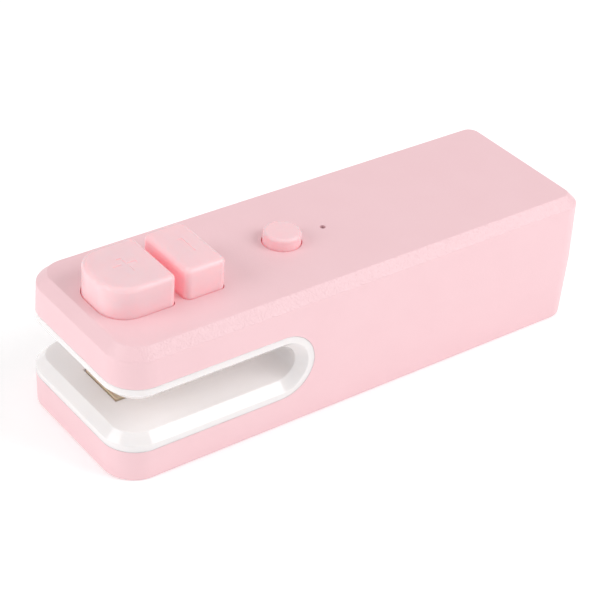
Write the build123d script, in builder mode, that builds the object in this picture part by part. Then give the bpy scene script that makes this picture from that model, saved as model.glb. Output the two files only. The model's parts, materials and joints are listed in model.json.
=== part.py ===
"""Handheld bag heat sealer with a cutter: a clamshell casing with a C-shaped mouth at one end.

Millimetres, +Z up. The origin is the centre of the resting face, the mouth opens towards -X,
and the charging socket is in the +X end. Pressing the front key lowers the heater head onto the
silicone pad, pressing the key behind it lowers the blade, and the round button switches power.
"""

import os

from build123d import *

os.makedirs("parts", exist_ok=True)

# ---------------------------------------------------------------- driving dimensions
# Casing
length = 110.0
width = 36.0
height = 28.6
wall = 1.8
draft = 1.5  # degrees that each casing half leans in, away from the parting line
front_corner = 7.0
rear_corner = 4.5
top_bevel = 2.0
bevel_round = 0.4  # softens the two edges of that bevel
bottom_round = 0.6
lip_height = 1.2
lip_gap = 0.1

# Mouth and its liner
mouth_level = 13.8  # height of the mouth's centre line, where the casing halves part too
mouth_depth = 35.15  # from the front end to the centre of the mouth's round back
mouth_radius = 7.05  # half the height of the cut-out in the casing
rim = 1.4  # width of the liner's edge seen from the side
flare = 1.8  # bevel from that edge down to the jaws
liner_wall = 1.5
liner_flange = 3.0
liner_fit = 0.05
liner_boss_reach = 0.8  # the liner's screw bosses end this far below the mouth's cut-out

# Keys on top
seal_key_start = 4.45
seal_key_length = 13.25
cut_key_length = 8.65
key_gap = 2.15
key_width = 15.1
key_rise = 6.3
key_wall = 1.3
key_round = 1.0
seal_key_front_corner = 5.5
key_corner = 1.3
key_clearance = 0.2
flange_fit = 0.15  # round the flanges that sit inside the hollow keys
key_travel = 4.8
key_stop_gap = 0.1  # between a key's side tabs and the ceiling of the casing
tab_length = 5.0
tab_height = 1.0
tab_overlap = 0.4  # tabs and pillars run this far into the wall they grow from
tab_edge = 0.4  # tab beyond the spring
mark_length = 4.8
mark_width = 1.0
mark_depth = 0.12
mark_setback = 0.4  # the marks sit this far behind the middle of their keys

# Springs under the key tabs
spring_radius = 1.9
spring_wire = 0.3
spring_turns = 3.0
spring_offset = 3.3  # from the key's side to the spring's axis
spring_post_height = 0.7

# Heater head and the pad under it
head_length = 8.0
head_width = 9.2
head_neck_length = 5.0
head_foot_height = 3.4
element_width = 4.0
element_thickness = 0.15
insulation_thickness = 0.2
tape_thickness = 0.12
strap_width = 2.4
strap_thickness = 0.2
terminal_thickness = 0.3
terminal_edge = 0.2  # terminal and strap discs beyond the spring
lead_gap = 0.35  # between a heater lead and a terminal disc
pad_length = 9.2
pad_width = 11.0
pad_recess = 0.8
pad_proud = 0.25
pad_gap = 0.25
pad_nip = 0.1  # left between heater and pad with the key fully down
window_clearance = 0.35
leg_room = 0.6  # the heater's two legs and their tape

# Cutter
holder_length = 3.4
holder_width = 10.2
holder_neck_width = 6.2
holder_clearance = 0.8  # between the holder and the lower jaw with the key fully down
blade_thickness = 0.4
blade_width = 9.6
blade_overlap = 0.4  # how far the edge enters its slot with the key fully down
blade_grind = 0.9  # height of the ground faces beside the edge
blade_slot = 1.3

# Power button, indicator and socket
button_from_front = 46.5
button_radius = 3.75
button_rise = 2.4
button_clearance = 0.2
button_flange = 1.1
button_flange_height = 0.8
button_round = 0.7
button_travel = 0.6
button_stem_radius = 1.3
button_shell = 1.3
led_from_front = 56.3
led_hole_radius = 0.6
led_pipe_recess = 1.4
socket_width = 8.94
socket_height = 3.2
socket_depth = 7.4
socket_wall = 0.35
socket_clearance = 0.3
socket_setback = 0.35

# Battery and circuit board
cell_diameter = 14.0
cell_length = 50.0
cell_from_front = 50.0
cell_gap = 0.2
cell_pad_thickness = 1.0
saddle_thickness = 1.4
board_thickness = 1.2
board_front = 42.4
board_rear_gap = 0.6
board_edge_gap = 0.6
switch_size = 6.0
switch_height = 3.5
plunger_radius = 1.7
wire_radius = 0.5

# Fasteners
boss_radius = 2.5
boss_wall_gap = 0.6
screw_shank = 1.0
screw_head_radius = 1.9
screw_head_height = 1.3
screw_seat = 3.0
screw_recess_gap = 0.3
small_shank = 0.7
small_head_radius = 1.2
small_head_height = 0.9
front_boss_from_front = 46.2
rear_boss_from_rear = 6.0

# ---------------------------------------------------------------- derived places
front = -length / 2
rear = length / 2
ceiling = height - wall
mouth_x = front + mouth_depth
channel_radius = mouth_radius - rim - flare
jaw_top = mouth_level - channel_radius  # upper face of the lower jaw
plate_bottom = mouth_level + channel_radius
plate_top = plate_bottom + liner_wall
pocket_half_width = width / 2 - liner_flange

seal_x = front + seal_key_start + seal_key_length / 2
cut_x = front + seal_key_start + seal_key_length + key_gap + cut_key_length / 2
tab_top = ceiling - key_stop_gap
tab_bottom = tab_top - tab_height
spring_y = key_width / 2 + spring_offset
tab_reach = spring_y + spring_radius + tab_edge
key_top = height + key_rise

pad_top = jaw_top + pad_proud
heater_face = pad_top + pad_nip + key_travel
head_bottom = heater_face + tape_thickness + element_thickness + insulation_thickness
neck_bottom = head_bottom + head_foot_height

button_x = front + button_from_front
led_x = front + led_from_front
button_top = height + button_rise
button_flange_bottom = ceiling - key_stop_gap - button_flange_height

cell_level = wall + cell_gap + cell_diameter / 2
board_bottom = wall + cell_gap + cell_diameter + cell_pad_thickness
board_top = board_bottom + board_thickness
switch_top = board_top + switch_height
plunger_top = button_flange_bottom - 0.4

boss_y = width / 2 - wall - boss_wall_gap - boss_radius
boss_points = [
    (x, side * boss_y)
    for x in (front + front_boss_from_front, rear - rear_boss_from_rear)
    for side in (-1, 1)
]
jaw_screw_y = pocket_half_width - 3.6
jaw_screw_points = [
    (x, side * jaw_screw_y) for x in (front + 8.0, mouth_x - 5.0) for side in (-1, 1)
]
board_half_width = boss_y - boss_radius - board_edge_gap
board_post_points = [
    (x, side * (board_half_width - 2.2)) for x in (led_x + 3.5, rear - 18.0) for side in (-1, 1)
]
board_post_radius = 1.8

BASE = (Align.CENTER, Align.CENTER, Align.MIN)
TOP = (Align.CENTER, Align.CENTER, Align.MAX)
down_from_parting = Plane(origin=(0, 0, mouth_level), x_dir=(1, 0, 0), z_dir=(0, 0, -1))


# ---------------------------------------------------------------- shared helpers
def save(builder, name):
    """Label a finished piece and write it as parts/<name>.step."""
    builder.part.label = name
    export_step(builder.part, f"parts/{name}.step")


def body_outline(inset=0.0):
    """Plan of the casing at the parting line: large round corners in front, small ones behind."""
    with BuildSketch() as outline:
        Rectangle(length - 2 * inset, width - 2 * inset)
        fillet(outline.vertices().group_by(Axis.X)[0], front_corner - inset)
        fillet(outline.vertices().group_by(Axis.X)[-1], rear_corner - inset / 2)
    return outline.sketch


def mouth_outline(radius, start=front - 5):
    """Side view of the mouth: a slot open to the front with a half-round back."""
    run = mouth_x - start
    with BuildSketch() as outline:
        with Locations((start + run / 2, mouth_level)):
            Rectangle(run, 2 * radius)
        with Locations((mouth_x, mouth_level)):
            Circle(radius)
    return outline.sketch


def seal_key_outline(grow=0.0):
    """Plan of the front key: a D with its round corners towards the mouth."""
    with BuildSketch() as outline:
        with Locations((seal_x, 0)):
            Rectangle(seal_key_length + 2 * grow, key_width + 2 * grow)
        fillet(outline.vertices().group_by(Axis.X)[0], seal_key_front_corner + grow)
        fillet(outline.vertices().group_by(Axis.X)[-1], max(key_corner + grow, 0.3))
    return outline.sketch


def cut_key_outline(grow=0.0):
    """Plan of the second key: a rectangle with small round corners."""
    with BuildSketch() as outline:
        with Locations((cut_x, 0)):
            RectangleRounded(
                cut_key_length + 2 * grow, key_width + 2 * grow, max(key_corner + grow, 0.3)
            )
    return outline.sketch


def outer_body():
    """The casing's outer shape with no openings, both halves together."""
    with BuildPart() as body:
        with BuildSketch(Plane.XY.offset(mouth_level)):
            add(body_outline())
        extrude(amount=height - mouth_level, taper=draft)
        with BuildSketch(down_from_parting):
            add(body_outline())
        extrude(amount=mouth_level, taper=draft)
    return body.part


def pan_screw(shank_radius, shank_length, head_radius, head_height):
    """A cross-head screw that stands head down, with the underside of its head at z = 0."""
    with BuildPart() as screw:
        Cylinder(head_radius, head_height, align=TOP)
        fillet(screw.edges().group_by(Axis.Z)[0], head_height * 0.4)
        Cylinder(shank_radius, shank_length, align=BASE)
        chamfer(screw.edges().group_by(Axis.Z)[-1], shank_radius * 0.5)
        with Locations((0, 0, -head_height)):
            Box(head_radius * 1.2, head_radius * 0.25, head_height * 0.9, mode=Mode.SUBTRACT)
            Box(head_radius * 0.25, head_radius * 1.2, head_height * 0.9, mode=Mode.SUBTRACT)
    return screw.part


def coil_spring(base_height, top_height):
    """A compression spring on the Z axis between two heights."""
    rise = top_height - base_height - spring_wire
    with BuildPart() as spring:
        with BuildLine(Plane.XY.offset(base_height + spring_wire / 2)) as path:
            Helix(pitch=rise / spring_turns, height=rise, radius=spring_radius - spring_wire / 2)
        with BuildSketch(Plane(origin=path.line @ 0, z_dir=path.line % 0)):
            Circle(spring_wire / 2)
        sweep(is_frenet=True)
    return spring.part


# ---------------------------------------------------------------- casing
with BuildPart() as upper_casing:
    with BuildSketch(Plane.XY.offset(mouth_level)):
        add(body_outline())
    extrude(amount=height - mouth_level, taper=draft)
    chamfer(upper_casing.faces().sort_by(Axis.Z)[-1].edges(), top_bevel)
    bevel_edges = upper_casing.edges().filter_by(
        lambda edge: edge.bounding_box().min.Z > height - top_bevel - 0.1
        and edge.bounding_box().size.Z < 0.1
    )
    fillet(bevel_edges, bevel_round)
    with BuildSketch(Plane.XY.offset(mouth_level)):
        add(body_outline(wall))
    extrude(amount=ceiling - mouth_level, taper=draft, mode=Mode.SUBTRACT)
    # rebate that takes the lower half's lip
    with BuildSketch(Plane.XY.offset(mouth_level)):
        add(body_outline(wall / 2))
    extrude(amount=lip_height + lip_gap, mode=Mode.SUBTRACT)
    # screw bosses at the corners and posts that carry the circuit board
    with BuildSketch(Plane.XY.offset(mouth_level)):
        with Locations(*boss_points):
            Circle(boss_radius)
    extrude(amount=ceiling - mouth_level)
    with BuildSketch(Plane.XY.offset(mouth_level)):
        with Locations(*boss_points):
            Circle(screw_shank)
    extrude(amount=7.0, mode=Mode.SUBTRACT)
    with BuildSketch(Plane.XY.offset(board_top)):
        with Locations(*board_post_points):
            Circle(board_post_radius)
    extrude(amount=ceiling - board_top)
    with BuildSketch(Plane.XY.offset(board_top)):
        with Locations(*board_post_points):
            Circle(small_shank)
    extrude(amount=4.0, mode=Mode.SUBTRACT)
    # mouth, a window for each key, button hole, indicator hole and socket opening
    with BuildSketch(Plane.XZ):
        add(mouth_outline(mouth_radius + liner_fit))
    extrude(amount=width, both=True, mode=Mode.SUBTRACT)
    with BuildSketch(Plane.XY.offset(ceiling - 1)):
        add(seal_key_outline(key_clearance))
        add(cut_key_outline(key_clearance))
    extrude(amount=wall + 2, mode=Mode.SUBTRACT)
    with Locations((button_x, 0, ceiling - 1)):
        Cylinder(button_radius + button_clearance, wall + 2, align=BASE, mode=Mode.SUBTRACT)
    with Locations((led_x, 0, ceiling - 1)):
        Cylinder(led_hole_radius, wall + 2, align=BASE, mode=Mode.SUBTRACT)
    socket_level = board_top + socket_height / 2
    with BuildSketch(Plane.YZ.offset(rear - 4)):
        with Locations((0, socket_level)):
            RectangleRounded(
                socket_width + 2 * socket_clearance,
                socket_height + 2 * socket_clearance,
                socket_height / 2,
            )
    extrude(amount=8, mode=Mode.SUBTRACT)
save(upper_casing, "upper_casing")

with BuildPart() as lower_casing:
    with BuildSketch(down_from_parting):
        add(body_outline())
    extrude(amount=mouth_level, taper=draft)
    fillet(lower_casing.faces().sort_by(Axis.Z)[0].edges(), bottom_round)
    with BuildSketch(down_from_parting):
        add(body_outline(wall))
    extrude(amount=mouth_level - wall, taper=draft, mode=Mode.SUBTRACT)
    with BuildSketch(Plane.XY.offset(mouth_level - 1)):
        add(body_outline(wall / 2 + lip_gap))
        add(body_outline(wall), mode=Mode.SUBTRACT)
    extrude(amount=1 + lip_height)
    # screw bosses, posts under the liner and two saddles under the cell
    with BuildSketch(Plane.XY.offset(wall / 2)):
        with Locations(*boss_points):
            Circle(boss_radius)
    extrude(amount=mouth_level - wall / 2)
    with BuildSketch(Plane.XY.offset(wall / 2)):
        with Locations(*jaw_screw_points):
            Circle(boss_radius)
    extrude(amount=mouth_level - mouth_radius - liner_boss_reach - wall / 2)
    for cell_share in (0.15, 0.85):
        saddle_x = front + cell_from_front + cell_share * cell_length
        with Locations((saddle_x, 0, wall - 0.5)):
            Box(saddle_thickness, cell_diameter, cell_diameter * 0.45 + 0.5, align=BASE)
    with BuildSketch(Plane.YZ.offset(front + cell_from_front - cell_gap)):
        with Locations((0, cell_level)):
            Circle(cell_diameter / 2 + cell_gap / 2)
    extrude(amount=cell_length + 2 * cell_gap, mode=Mode.SUBTRACT)
    with BuildSketch(Plane.XZ):
        add(mouth_outline(mouth_radius + liner_fit))
    extrude(amount=width, both=True, mode=Mode.SUBTRACT)
    # screw holes with a deep seat for each head
    with BuildSketch(Plane.XY):
        with Locations(*boss_points, *jaw_screw_points):
            Circle(screw_head_radius + screw_recess_gap)
    extrude(amount=screw_seat, mode=Mode.SUBTRACT)
    with BuildSketch(Plane.XY):
        with Locations(*boss_points, *jaw_screw_points):
            Circle(screw_shank + 0.1)
    extrude(amount=height, mode=Mode.SUBTRACT)
save(lower_casing, "lower_casing")

# ---------------------------------------------------------------- mouth liner
with BuildPart() as mouth_liner:
    add(outer_body())
    with BuildSketch(Plane.XZ):
        add(mouth_outline(mouth_radius))
        add(mouth_outline(channel_radius, start=front - 6), mode=Mode.SUBTRACT)
    extrude(amount=width, both=True, mode=Mode.INTERSECT)
    # the bevel that runs round the whole mouth, where the channel meets the outside
    channel_edges = (
        mouth_liner.faces()
        .filter_by(lambda face: face.bounding_box().min.Z > jaw_top - 0.01)
        .filter_by(lambda face: face.bounding_box().max.Z < plate_bottom + 0.01)
        .edges()
    )
    outside_edges = channel_edges.filter_by(
        lambda edge: abs(edge.center().Y) > pocket_half_width - 1
        or edge.center().X < front + liner_flange
    )
    chamfer(outside_edges, flare)
    # pockets above and below leave a thin tray with a flange round it
    with BuildSketch(Plane.XZ):
        add(mouth_outline(mouth_radius + 2, start=front + liner_flange))
        add(mouth_outline(channel_radius + liner_wall, start=front), mode=Mode.SUBTRACT)
    extrude(amount=pocket_half_width, both=True, mode=Mode.SUBTRACT)
    # windows for the heater head and the blade holder, recess for the pad, slot for the blade
    with Locations((seal_x, 0, plate_bottom - 1)):
        Box(
            head_length + 2 * window_clearance,
            head_width + 2 * window_clearance + leg_room,
            liner_wall + 2,
            align=BASE,
            mode=Mode.SUBTRACT,
        )
    with Locations((cut_x, 0, plate_bottom - 1)):
        Box(
            holder_length + 2 * window_clearance,
            holder_width + 2 * window_clearance,
            liner_wall + 2,
            align=BASE,
            mode=Mode.SUBTRACT,
        )
    with Locations((seal_x, 0, jaw_top - pad_recess)):
        Box(
            pad_length + 2 * pad_gap,
            pad_width + 2 * pad_gap,
            pad_recess + 0.5,
            align=BASE,
            mode=Mode.SUBTRACT,
        )
    with Locations((cut_x, 0, jaw_top - liner_wall - 0.5)):
        Box(blade_slot, blade_width + 1.2, liner_wall + 1, align=BASE, mode=Mode.SUBTRACT)
    # posts that centre the springs, and bosses for the screws from below
    with BuildSketch(Plane.XY.offset(plate_top - 0.5)):
        with Locations(*[(x, side * spring_y) for x in (seal_x, cut_x) for side in (-1, 1)]):
            Circle(spring_radius - spring_wire - 0.4)
    extrude(amount=0.5 + spring_post_height)
    boss_foot = mouth_level - mouth_radius - liner_boss_reach
    with BuildSketch(Plane.XY.offset(boss_foot)):
        with Locations(*jaw_screw_points):
            Circle(boss_radius)
    extrude(amount=jaw_top - liner_wall / 2 - boss_foot)
    with BuildSketch(Plane.XY.offset(boss_foot)):
        with Locations(*jaw_screw_points):
            Circle(screw_shank)
    extrude(amount=jaw_top - liner_wall - boss_foot, mode=Mode.SUBTRACT)
save(mouth_liner, "mouth_liner")

with BuildPart() as sealing_pad:
    with Locations((seal_x, 0, jaw_top - pad_recess)):
        Box(pad_length, pad_width, pad_recess + pad_proud, align=BASE)
    fillet(sealing_pad.edges().filter_by(Axis.Z), 0.6)
    fillet(sealing_pad.faces().sort_by(Axis.Z)[-1].edges(), 0.15)
save(sealing_pad, "sealing_pad")

# ---------------------------------------------------------------- seal key and heater head
with BuildPart() as seal_key:
    with BuildSketch(Plane.XY.offset(tab_bottom)):
        add(seal_key_outline())
    extrude(amount=key_top - tab_bottom)
    fillet(seal_key.faces().sort_by(Axis.Z)[-1].edges(), key_round)
    with BuildSketch(Plane.XY.offset(tab_bottom)):
        add(seal_key_outline(-key_wall))
    extrude(amount=key_top - key_wall - tab_bottom, mode=Mode.SUBTRACT)
    # side tabs that stop under the ceiling and carry the springs
    for side in (-1, 1):
        with Locations((seal_x, side * (key_width / 2 + tab_reach) / 2, tab_bottom)):
            Box(tab_length, tab_reach - key_width / 2 + tab_overlap, tab_height, align=BASE)
    # pillars for the two screws that hold the heater head
    pillar_x = (seal_key_length - head_neck_length) / 4 + head_neck_length / 2 - tab_overlap
    with BuildSketch(Plane.XY.offset(tab_top)):
        with Locations((seal_x - pillar_x, 0), (seal_x + pillar_x, 0)):
            Circle(1.5)
    extrude(amount=key_top - key_wall / 2 - tab_top)
    with BuildSketch(Plane.XY.offset(tab_top)):
        with Locations((seal_x - pillar_x, 0), (seal_x + pillar_x, 0)):
            Circle(small_shank)
    extrude(amount=4.0, mode=Mode.SUBTRACT)
    # shallow plus mark
    with Locations((seal_x + mark_setback, 0, key_top)):
        Box(mark_length, mark_width, 2 * mark_depth, mode=Mode.SUBTRACT)
        Box(mark_width, mark_length, 2 * mark_depth, mode=Mode.SUBTRACT)
save(seal_key, "seal_key")

with BuildPart() as heater_carrier:
    with Locations((seal_x, 0, head_bottom)):
        Box(head_length, head_width, head_foot_height, align=BASE)
    with Locations((seal_x, 0, neck_bottom - 0.1)):
        Box(head_neck_length, head_width, tab_bottom - neck_bottom + 0.1, align=BASE)
    with BuildSketch(Plane.XY.offset(tab_bottom)):
        add(seal_key_outline(-key_wall - flange_fit))
    extrude(amount=tab_height)
    with BuildSketch(Plane.XY.offset(tab_bottom)):
        with Locations((seal_x - pillar_x, 0), (seal_x + pillar_x, 0)):
            Circle(small_shank + 0.1)
    extrude(amount=tab_height, mode=Mode.SUBTRACT)
save(heater_carrier, "heater_carrier")

with BuildPart() as head_screws:
    with Locations((seal_x - pillar_x, 0, tab_bottom), (seal_x + pillar_x, 0, tab_bottom)):
        add(pan_screw(small_shank, tab_height + 3.0, small_head_radius, small_head_height))
save(head_screws, "head_screws")

with BuildPart() as insulation_sheet:
    with Locations((seal_x, 0, head_bottom - insulation_thickness)):
        Box(head_length, head_width, insulation_thickness, align=BASE)
save(insulation_sheet, "insulation_sheet")

element_bottom = heater_face + tape_thickness
element_top = tab_bottom - strap_thickness
leg_y = head_width / 2 + element_thickness / 2
with BuildPart() as heating_element:
    with Locations((seal_x, 0, element_bottom)):
        Box(element_width, head_width + 2 * element_thickness, element_thickness, align=BASE)
    for side in (-1, 1):
        with Locations((seal_x, side * leg_y, element_bottom)):
            Box(element_width, element_thickness, element_top - element_bottom, align=BASE)
save(heating_element, "heating_element")

tape_y = head_width / 2 + element_thickness + tape_thickness / 2
with BuildPart() as heater_tape:
    with Locations((seal_x, 0, heater_face)):
        Box(head_length - 0.6, 2 * tape_y + tape_thickness, tape_thickness, align=BASE)
    for side in (-1, 1):
        with Locations((seal_x, side * tape_y, heater_face)):
            Box(head_length - 0.6, tape_thickness, head_foot_height, align=BASE)
save(heater_tape, "heater_tape")

strap_inner = head_width / 2
strap_run = tab_reach - 0.3 - strap_inner
with BuildPart() as heater_straps:
    for side in (-1, 1):
        with Locations((seal_x, side * (strap_inner + strap_run / 2), element_top)):
            Box(strap_width, strap_run, strap_thickness, align=BASE)
        with Locations((seal_x, side * spring_y, element_top)):
            Cylinder(spring_radius + terminal_edge, strap_thickness, align=BASE)
save(heater_straps, "heater_straps")

terminal_top = plate_top + terminal_thickness
lead_y = spring_y - spring_radius - terminal_edge - lead_gap - wire_radius
lug_end = lead_y - wire_radius - 0.1
with BuildPart() as spring_terminals:
    for side in (-1, 1):
        with Locations((seal_x, side * spring_y, plate_top)):
            Cylinder(spring_radius + terminal_edge, terminal_thickness, align=BASE)
        with Locations((seal_x, side * (spring_y + lug_end) / 2, plate_top)):
            Box(strap_width, spring_y - lug_end, terminal_thickness, align=BASE)
    with Locations((seal_x, spring_y, plate_top), (seal_x, -spring_y, plate_top)):
        Cylinder(spring_radius - spring_wire - 0.35, 2, mode=Mode.SUBTRACT)
save(spring_terminals, "spring_terminals")

with BuildPart() as seal_springs:
    with Locations((seal_x, -spring_y, 0), (seal_x, spring_y, 0)):
        add(coil_spring(terminal_top, element_top))
save(seal_springs, "seal_springs")

# ---------------------------------------------------------------- cut key and blade
with BuildPart() as cut_key:
    with BuildSketch(Plane.XY.offset(tab_bottom)):
        add(cut_key_outline())
    extrude(amount=key_top - tab_bottom)
    fillet(cut_key.faces().sort_by(Axis.Z)[-1].edges(), key_round)
    with BuildSketch(Plane.XY.offset(tab_bottom)):
        add(cut_key_outline(-key_wall))
    extrude(amount=key_top - key_wall - tab_bottom, mode=Mode.SUBTRACT)
    for side in (-1, 1):
        with Locations((cut_x, side * (key_width / 2 + tab_reach) / 2, tab_bottom)):
            Box(tab_length, tab_reach - key_width / 2 + tab_overlap, tab_height, align=BASE)
    cut_pillar_y = (holder_neck_width + key_width - 2 * key_wall) / 4 - 0.2
    with BuildSketch(Plane.XY.offset(tab_top)):
        with Locations((cut_x, -cut_pillar_y), (cut_x, cut_pillar_y)):
            Circle(1.4)
    extrude(amount=key_top - key_wall / 2 - tab_top)
    with BuildSketch(Plane.XY.offset(tab_top)):
        with Locations((cut_x, -cut_pillar_y), (cut_x, cut_pillar_y)):
            Circle(small_shank)
    extrude(amount=4.0, mode=Mode.SUBTRACT)
    # shallow minus mark
    with Locations((cut_x + mark_setback, 0, key_top)):
        Box(mark_width, mark_length, 2 * mark_depth, mode=Mode.SUBTRACT)
save(cut_key, "cut_key")

blade_edge = jaw_top - blade_overlap + key_travel
holder_bottom = jaw_top + holder_clearance + key_travel
blade_top = tab_bottom - 1.0
blade_tang_half_width = holder_neck_width / 2 - 0.8
with BuildPart() as blade_holder:
    with Locations((cut_x, 0, holder_bottom)):
        Box(holder_length, holder_width, neck_bottom - holder_bottom, align=BASE)
    with Locations((cut_x, 0, neck_bottom - 0.1)):
        Box(holder_length, holder_neck_width, tab_bottom - neck_bottom + 0.1, align=BASE)
    with BuildSketch(Plane.XY.offset(tab_bottom)):
        add(cut_key_outline(-key_wall - flange_fit))
    extrude(amount=tab_height)
    with BuildSketch(Plane.XY.offset(tab_bottom)):
        with Locations((cut_x, -cut_pillar_y), (cut_x, cut_pillar_y)):
            Circle(small_shank + 0.1)
    extrude(amount=tab_height, mode=Mode.SUBTRACT)
    # slit that the blade is pressed into
    with Locations((cut_x, 0, holder_bottom - 0.5)):
        Box(
            blade_thickness,
            blade_width,
            neck_bottom - holder_bottom + 0.5,
            align=BASE,
            mode=Mode.SUBTRACT,
        )
    with Locations((cut_x, 0, holder_bottom)):
        Box(
            blade_thickness,
            2 * blade_tang_half_width,
            blade_top - holder_bottom,
            align=BASE,
            mode=Mode.SUBTRACT,
        )
save(blade_holder, "blade_holder")

with BuildPart() as blade:
    # the section is ground to an edge from both sides
    with BuildSketch(Plane.XZ):
        with BuildLine():
            Polyline(
                (cut_x, blade_edge),
                (cut_x + blade_thickness / 2, blade_edge + blade_grind),
                (cut_x + blade_thickness / 2, blade_top),
                (cut_x - blade_thickness / 2, blade_top),
                (cut_x - blade_thickness / 2, blade_edge + blade_grind),
                close=True,
            )
        make_face()
    extrude(amount=blade_width / 2, both=True)
    # above the holder's foot the blade narrows to a tang
    for side in (-1, 1):
        with Locations((cut_x, side * (blade_tang_half_width + blade_width), neck_bottom)):
            Box(2, 2 * blade_width, height, align=BASE, mode=Mode.SUBTRACT)
save(blade, "blade")

with BuildPart() as holder_screws:
    with Locations((cut_x, -cut_pillar_y, tab_bottom), (cut_x, cut_pillar_y, tab_bottom)):
        add(pan_screw(small_shank, tab_height + 3.0, small_head_radius, small_head_height))
save(holder_screws, "holder_screws")

with BuildPart() as cut_springs:
    with Locations((cut_x, -spring_y, 0), (cut_x, spring_y, 0)):
        add(coil_spring(plate_top, tab_bottom))
save(cut_springs, "cut_springs")

# ---------------------------------------------------------------- power button and switch
with BuildPart() as power_button:
    with Locations((button_x, 0, button_flange_bottom)):
        Cylinder(button_radius, button_top - button_flange_bottom, align=BASE)
    fillet(power_button.edges().group_by(Axis.Z)[-1], button_round)
    with Locations((button_x, 0, button_flange_bottom)):
        Cylinder(button_radius + button_flange, button_flange_height, align=BASE)
        Cylinder(
            button_radius - button_shell,
            button_top - button_shell - button_flange_bottom,
            align=BASE,
            mode=Mode.SUBTRACT,
        )
    with Locations((button_x, 0, plunger_top)):
        Cylinder(button_stem_radius, button_top - button_shell / 2 - plunger_top, align=BASE)
save(power_button, "power_button")

plunger_foot = switch_top - 0.5
with BuildPart() as switch_plunger:
    with Locations((button_x, 0, plunger_foot)):
        Cylinder(plunger_radius, plunger_top - plunger_foot, align=BASE)
save(switch_plunger, "switch_plunger")

with BuildPart() as power_switch:
    with Locations((button_x, 0, board_top)):
        Box(switch_size, switch_size, switch_height, align=BASE)
    fillet(power_switch.edges().filter_by(Axis.Z), 0.4)
    with Locations((button_x, 0, switch_top)):
        Cylinder(plunger_radius + 0.1, 0.5 + button_travel + 0.2, align=TOP, mode=Mode.SUBTRACT)
save(power_switch, "power_switch")

with BuildPart() as switch_legs:
    leg_x = switch_size / 2 + 0.15
    with Locations(
        *[(button_x + sx * leg_x, sy * 2.25, board_top) for sx in (-1, 1) for sy in (-1, 1)]
    ):
        Box(0.3, 0.7, 2.4, align=BASE)
save(switch_legs, "switch_legs")

# ---------------------------------------------------------------- circuit board and what it carries
board_rear = rear - wall - board_rear_gap
board_length = board_rear - (front + board_front)
board_x = front + board_front + board_length / 2
with BuildPart() as circuit_board:
    with Locations((board_x, 0, board_bottom)):
        Box(board_length, 2 * board_half_width, board_thickness, align=BASE)
    fillet(circuit_board.edges().filter_by(Axis.Z), 1.0)
    with BuildSketch(Plane.XY.offset(board_bottom)):
        with Locations(*board_post_points):
            Circle(small_shank + 0.1)
    extrude(amount=board_thickness, mode=Mode.SUBTRACT)
save(circuit_board, "circuit_board")

with BuildPart() as board_screws:
    with Locations(*[(x, y, board_bottom) for x, y in board_post_points]):
        add(pan_screw(small_shank, board_thickness + 3.0, small_head_radius, small_head_height))
save(board_screws, "board_screws")

with BuildPart() as indicator_led:
    with Locations((led_x, 0, board_top)):
        Box(2.0, 1.25, 0.8, align=BASE)
    fillet(indicator_led.faces().sort_by(Axis.Z)[-1].edges(), 0.2)
save(indicator_led, "indicator_led")

pipe_bottom = board_top + 1.0
with BuildPart() as light_pipe:
    with Locations((led_x, 0, pipe_bottom)):
        Cylinder(1.6, ceiling - pipe_bottom, align=BASE)
        Cylinder(led_hole_radius, height - led_pipe_recess - pipe_bottom, align=BASE)
    chamfer(light_pipe.edges().group_by(Axis.Z)[0], 0.3)
save(light_pipe, "light_pipe")

socket_rear = rear - socket_setback
socket_front = socket_rear - socket_depth
with BuildPart() as charging_socket:
    with BuildSketch(Plane.YZ.offset(socket_front)):
        with Locations((0, socket_level)):
            RectangleRounded(socket_width, socket_height, socket_height / 2 - 0.01)
    extrude(amount=socket_depth)
    with BuildSketch(Plane.YZ.offset(socket_front + 1.0)):
        with Locations((0, socket_level)):
            RectangleRounded(
                socket_width - 2 * socket_wall,
                socket_height - 2 * socket_wall,
                socket_height / 2 - socket_wall - 0.01,
            )
    extrude(amount=socket_depth, mode=Mode.SUBTRACT)
save(charging_socket, "charging_socket")

with BuildPart() as socket_tongue:
    with Locations((socket_front + 1.0 + 2.4, 0, socket_level)):
        Box(4.8, 6.7, 0.7)
    fillet(socket_tongue.edges().filter_by(Axis.Z).group_by(Axis.X)[-1], 0.5)
save(socket_tongue, "socket_tongue")

with BuildPart() as charge_controller:
    with Locations((rear - 26.0, 0, board_top + 0.15)):
        Box(4.9, 3.9, 1.5, align=BASE)
    for step in range(4):
        leg_along = rear - 26.0 + (step - 1.5) * 1.27
        for side in (-1, 1):
            with Locations((leg_along, side * 2.4, board_top)):
                Box(0.4, 1.1, 0.5, align=BASE)
save(charge_controller, "charge_controller")

with BuildPart() as power_transistor:
    with Locations((led_x + 15.0, -3.2, board_top)):
        Box(6.2, 6.0, 2.2, align=BASE)
    with Locations((led_x + 11.1, -3.2, board_top)):
        Box(1.8, 4.6, 0.5, align=BASE)
save(power_transistor, "power_transistor")

with BuildPart() as board_capacitors:
    for step in range(3):
        with Locations((rear - 34.0 - 4.5 * step, 4.2, board_top)):
            Box(2.0, 1.25, 1.1, align=BASE)
save(board_capacitors, "board_capacitors")

# ---------------------------------------------------------------- cell
cell_front = front + cell_from_front
with BuildPart() as battery_cell:
    with BuildSketch(Plane.YZ.offset(cell_front)):
        with Locations((0, cell_level)):
            Circle(cell_diameter / 2)
    extrude(amount=cell_length)
    fillet(battery_cell.edges().filter_by(GeomType.CIRCLE), 0.6)
save(battery_cell, "battery_cell")

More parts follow.
